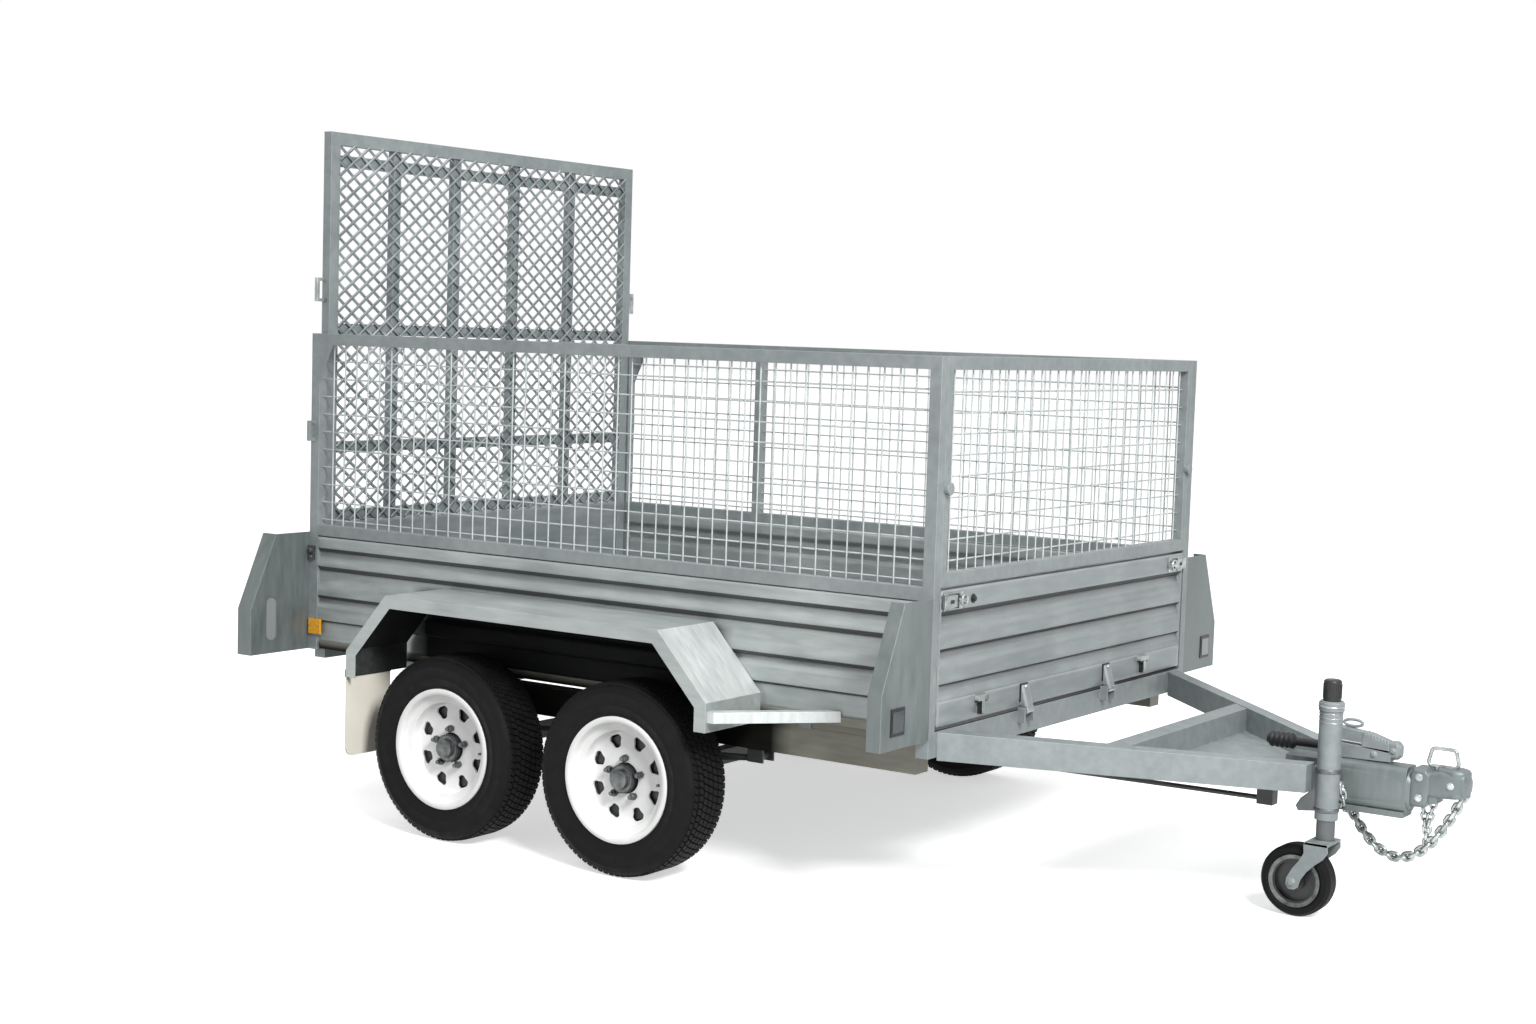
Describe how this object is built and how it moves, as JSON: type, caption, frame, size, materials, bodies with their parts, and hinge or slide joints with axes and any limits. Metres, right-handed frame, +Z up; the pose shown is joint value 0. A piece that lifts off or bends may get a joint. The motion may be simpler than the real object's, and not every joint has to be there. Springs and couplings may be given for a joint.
{
  "type": "utility trailer",
  "caption": "Galvanised tandem-axle box trailer with a mesh cage, drop-down front gate, rear mesh ramp, mudguards and a jockey wheel on its drawbar.",
  "frame": {"origin": "on the ground, at the middle of the overall length and width", "axes": "+X forward to the coupling, +Y to the left, +Z up"},
  "size_m": [3.53, 2.14, 2.112],
  "materials": {
    "galvanised": "hot-dip galvanised steel, matt with a soft mottle",
    "galvanised_mesh": "galvanised wire and expanded mesh",
    "zinc_plate": "bright zinc plate, slightly glossy",
    "wheel_enamel": "white baked enamel, satin",
    "hub_dark": "dark grey hub and drum, matt",
    "tyre": "black road tyre rubber",
    "jockey_rubber": "black solid rubber",
    "black_plastic": "black moulded plastic and rubber grip",
    "cream_plastic": "cream mudflap sheet",
    "lamp_plastic": "amber and red lamp lens"
  },
  "bodies": {
    "chassis": {"axles": "galvanised", "brake_housing": "galvanised", "brake_lever": "black_plastic", "brake_rod": "galvanised", "cage_frame_front": "galvanised", "cage_frame_left": "galvanised", "cage_frame_right": "galvanised", "cage_mesh_front": "galvanised_mesh", "cage_mesh_left": "galvanised_mesh", "cage_mesh_right": "galvanised_mesh", "corner_posts": "galvanised", "corner_wings": "galvanised", "coupling_body": "galvanised", "coupling_handle": "zinc_plate", "coupling_head": "galvanised", "crossmembers": "galvanised", "drawbar_beams": "galvanised", "drawbar_crossbar": "galvanised", "floor": "galvanised", "guard_stays": "galvanised", "jockey_cap": "black_plastic", "jockey_clamp": "zinc_plate", "jockey_outer_tube": "zinc_plate", "leaf_springs": "galvanised", "longerons": "galvanised", "marker_lamps": "lamp_plastic", "mudflaps": "cream_plastic", "mudguard_left": "galvanised", "mudguard_right": "galvanised", "nose_plate": "galvanised", "ramp_brackets": "galvanised", "safety_chain": "zinc_plate", "side_panel_left": "galvanised", "side_panel_right": "galvanised", "side_rails": "galvanised", "spring_hangers": "galvanised", "tail_lamps": "lamp_plastic"},
    "front_gate": {"front_gate": "galvanised", "gate_latches": "zinc_plate"},
    "ramp": {"ramp_frame": "galvanised", "ramp_sheet": "galvanised", "ramp_mesh": "galvanised_mesh", "ramp_handles": "galvanised"},
    "jockey_leg": {"jockey_inner_tube": "zinc_plate"},
    "jockey_fork": {"jockey_fork": "zinc_plate"},
    "jockey_wheel": {"jockey_rim": "black_plastic", "jockey_tyre": "jockey_rubber"},
    "wheel_front_left": {"tyre_front_left": "tyre", "rim_front_left": "wheel_enamel", "hub_front_left": "hub_dark"},
    "wheel_front_right": {"tyre_front_right": "tyre", "rim_front_right": "wheel_enamel", "hub_front_right": "hub_dark"},
    "wheel_rear_left": {"tyre_rear_left": "tyre", "rim_rear_left": "wheel_enamel", "hub_rear_left": "hub_dark"},
    "wheel_rear_right": {"tyre_rear_right": "tyre", "rim_rear_right": "wheel_enamel", "hub_rear_right": "hub_dark"}
  },
  "joints": [
    {"name": "front_gate_hinge", "type": "hinge", "parent": "chassis", "child": "front_gate", "pos_m": [0.605, 0, 0.49], "axis": [0, 1, 0], "range_deg": [0, 90]},
    {"name": "ramp_hinge", "type": "hinge", "parent": "chassis", "child": "ramp", "pos_m": [-1.725, 0, 0.478], "axis": [0, -1, 0], "range_deg": [0, 107]},
    {"name": "jockey_wind", "type": "slide", "parent": "chassis", "child": "jockey_leg", "axis": [0, 0, 1], "range_m": [0, 0.05]},
    {"name": "jockey_swivel", "type": "hinge", "parent": "jockey_leg", "child": "jockey_fork", "pos_m": [1.419, -0.112, 0.214], "axis": [0, 0, 1], "continuous": true},
    {"name": "jockey_spin", "type": "hinge", "parent": "jockey_fork", "child": "jockey_wheel", "pos_m": [1.351, -0.112, 0.098], "axis": [0, 1, 0], "continuous": true},
    {"name": "wheel_front_left_spin", "type": "hinge", "parent": "chassis", "child": "wheel_front_left", "pos_m": [-0.281, 0.948, 0.274], "axis": [0, 1, 0], "continuous": true},
    {"name": "wheel_front_right_spin", "type": "hinge", "parent": "chassis", "child": "wheel_front_right", "pos_m": [-0.281, -0.948, 0.274], "axis": [0, 1, 0], "continuous": true},
    {"name": "wheel_rear_left_spin", "type": "hinge", "parent": "chassis", "child": "wheel_rear_left", "pos_m": [-0.933, 0.948, 0.274], "axis": [0, 1, 0], "continuous": true},
    {"name": "wheel_rear_right_spin", "type": "hinge", "parent": "chassis", "child": "wheel_rear_right", "pos_m": [-0.933, -0.948, 0.274], "axis": [0, 1, 0], "continuous": true}
  ]
}
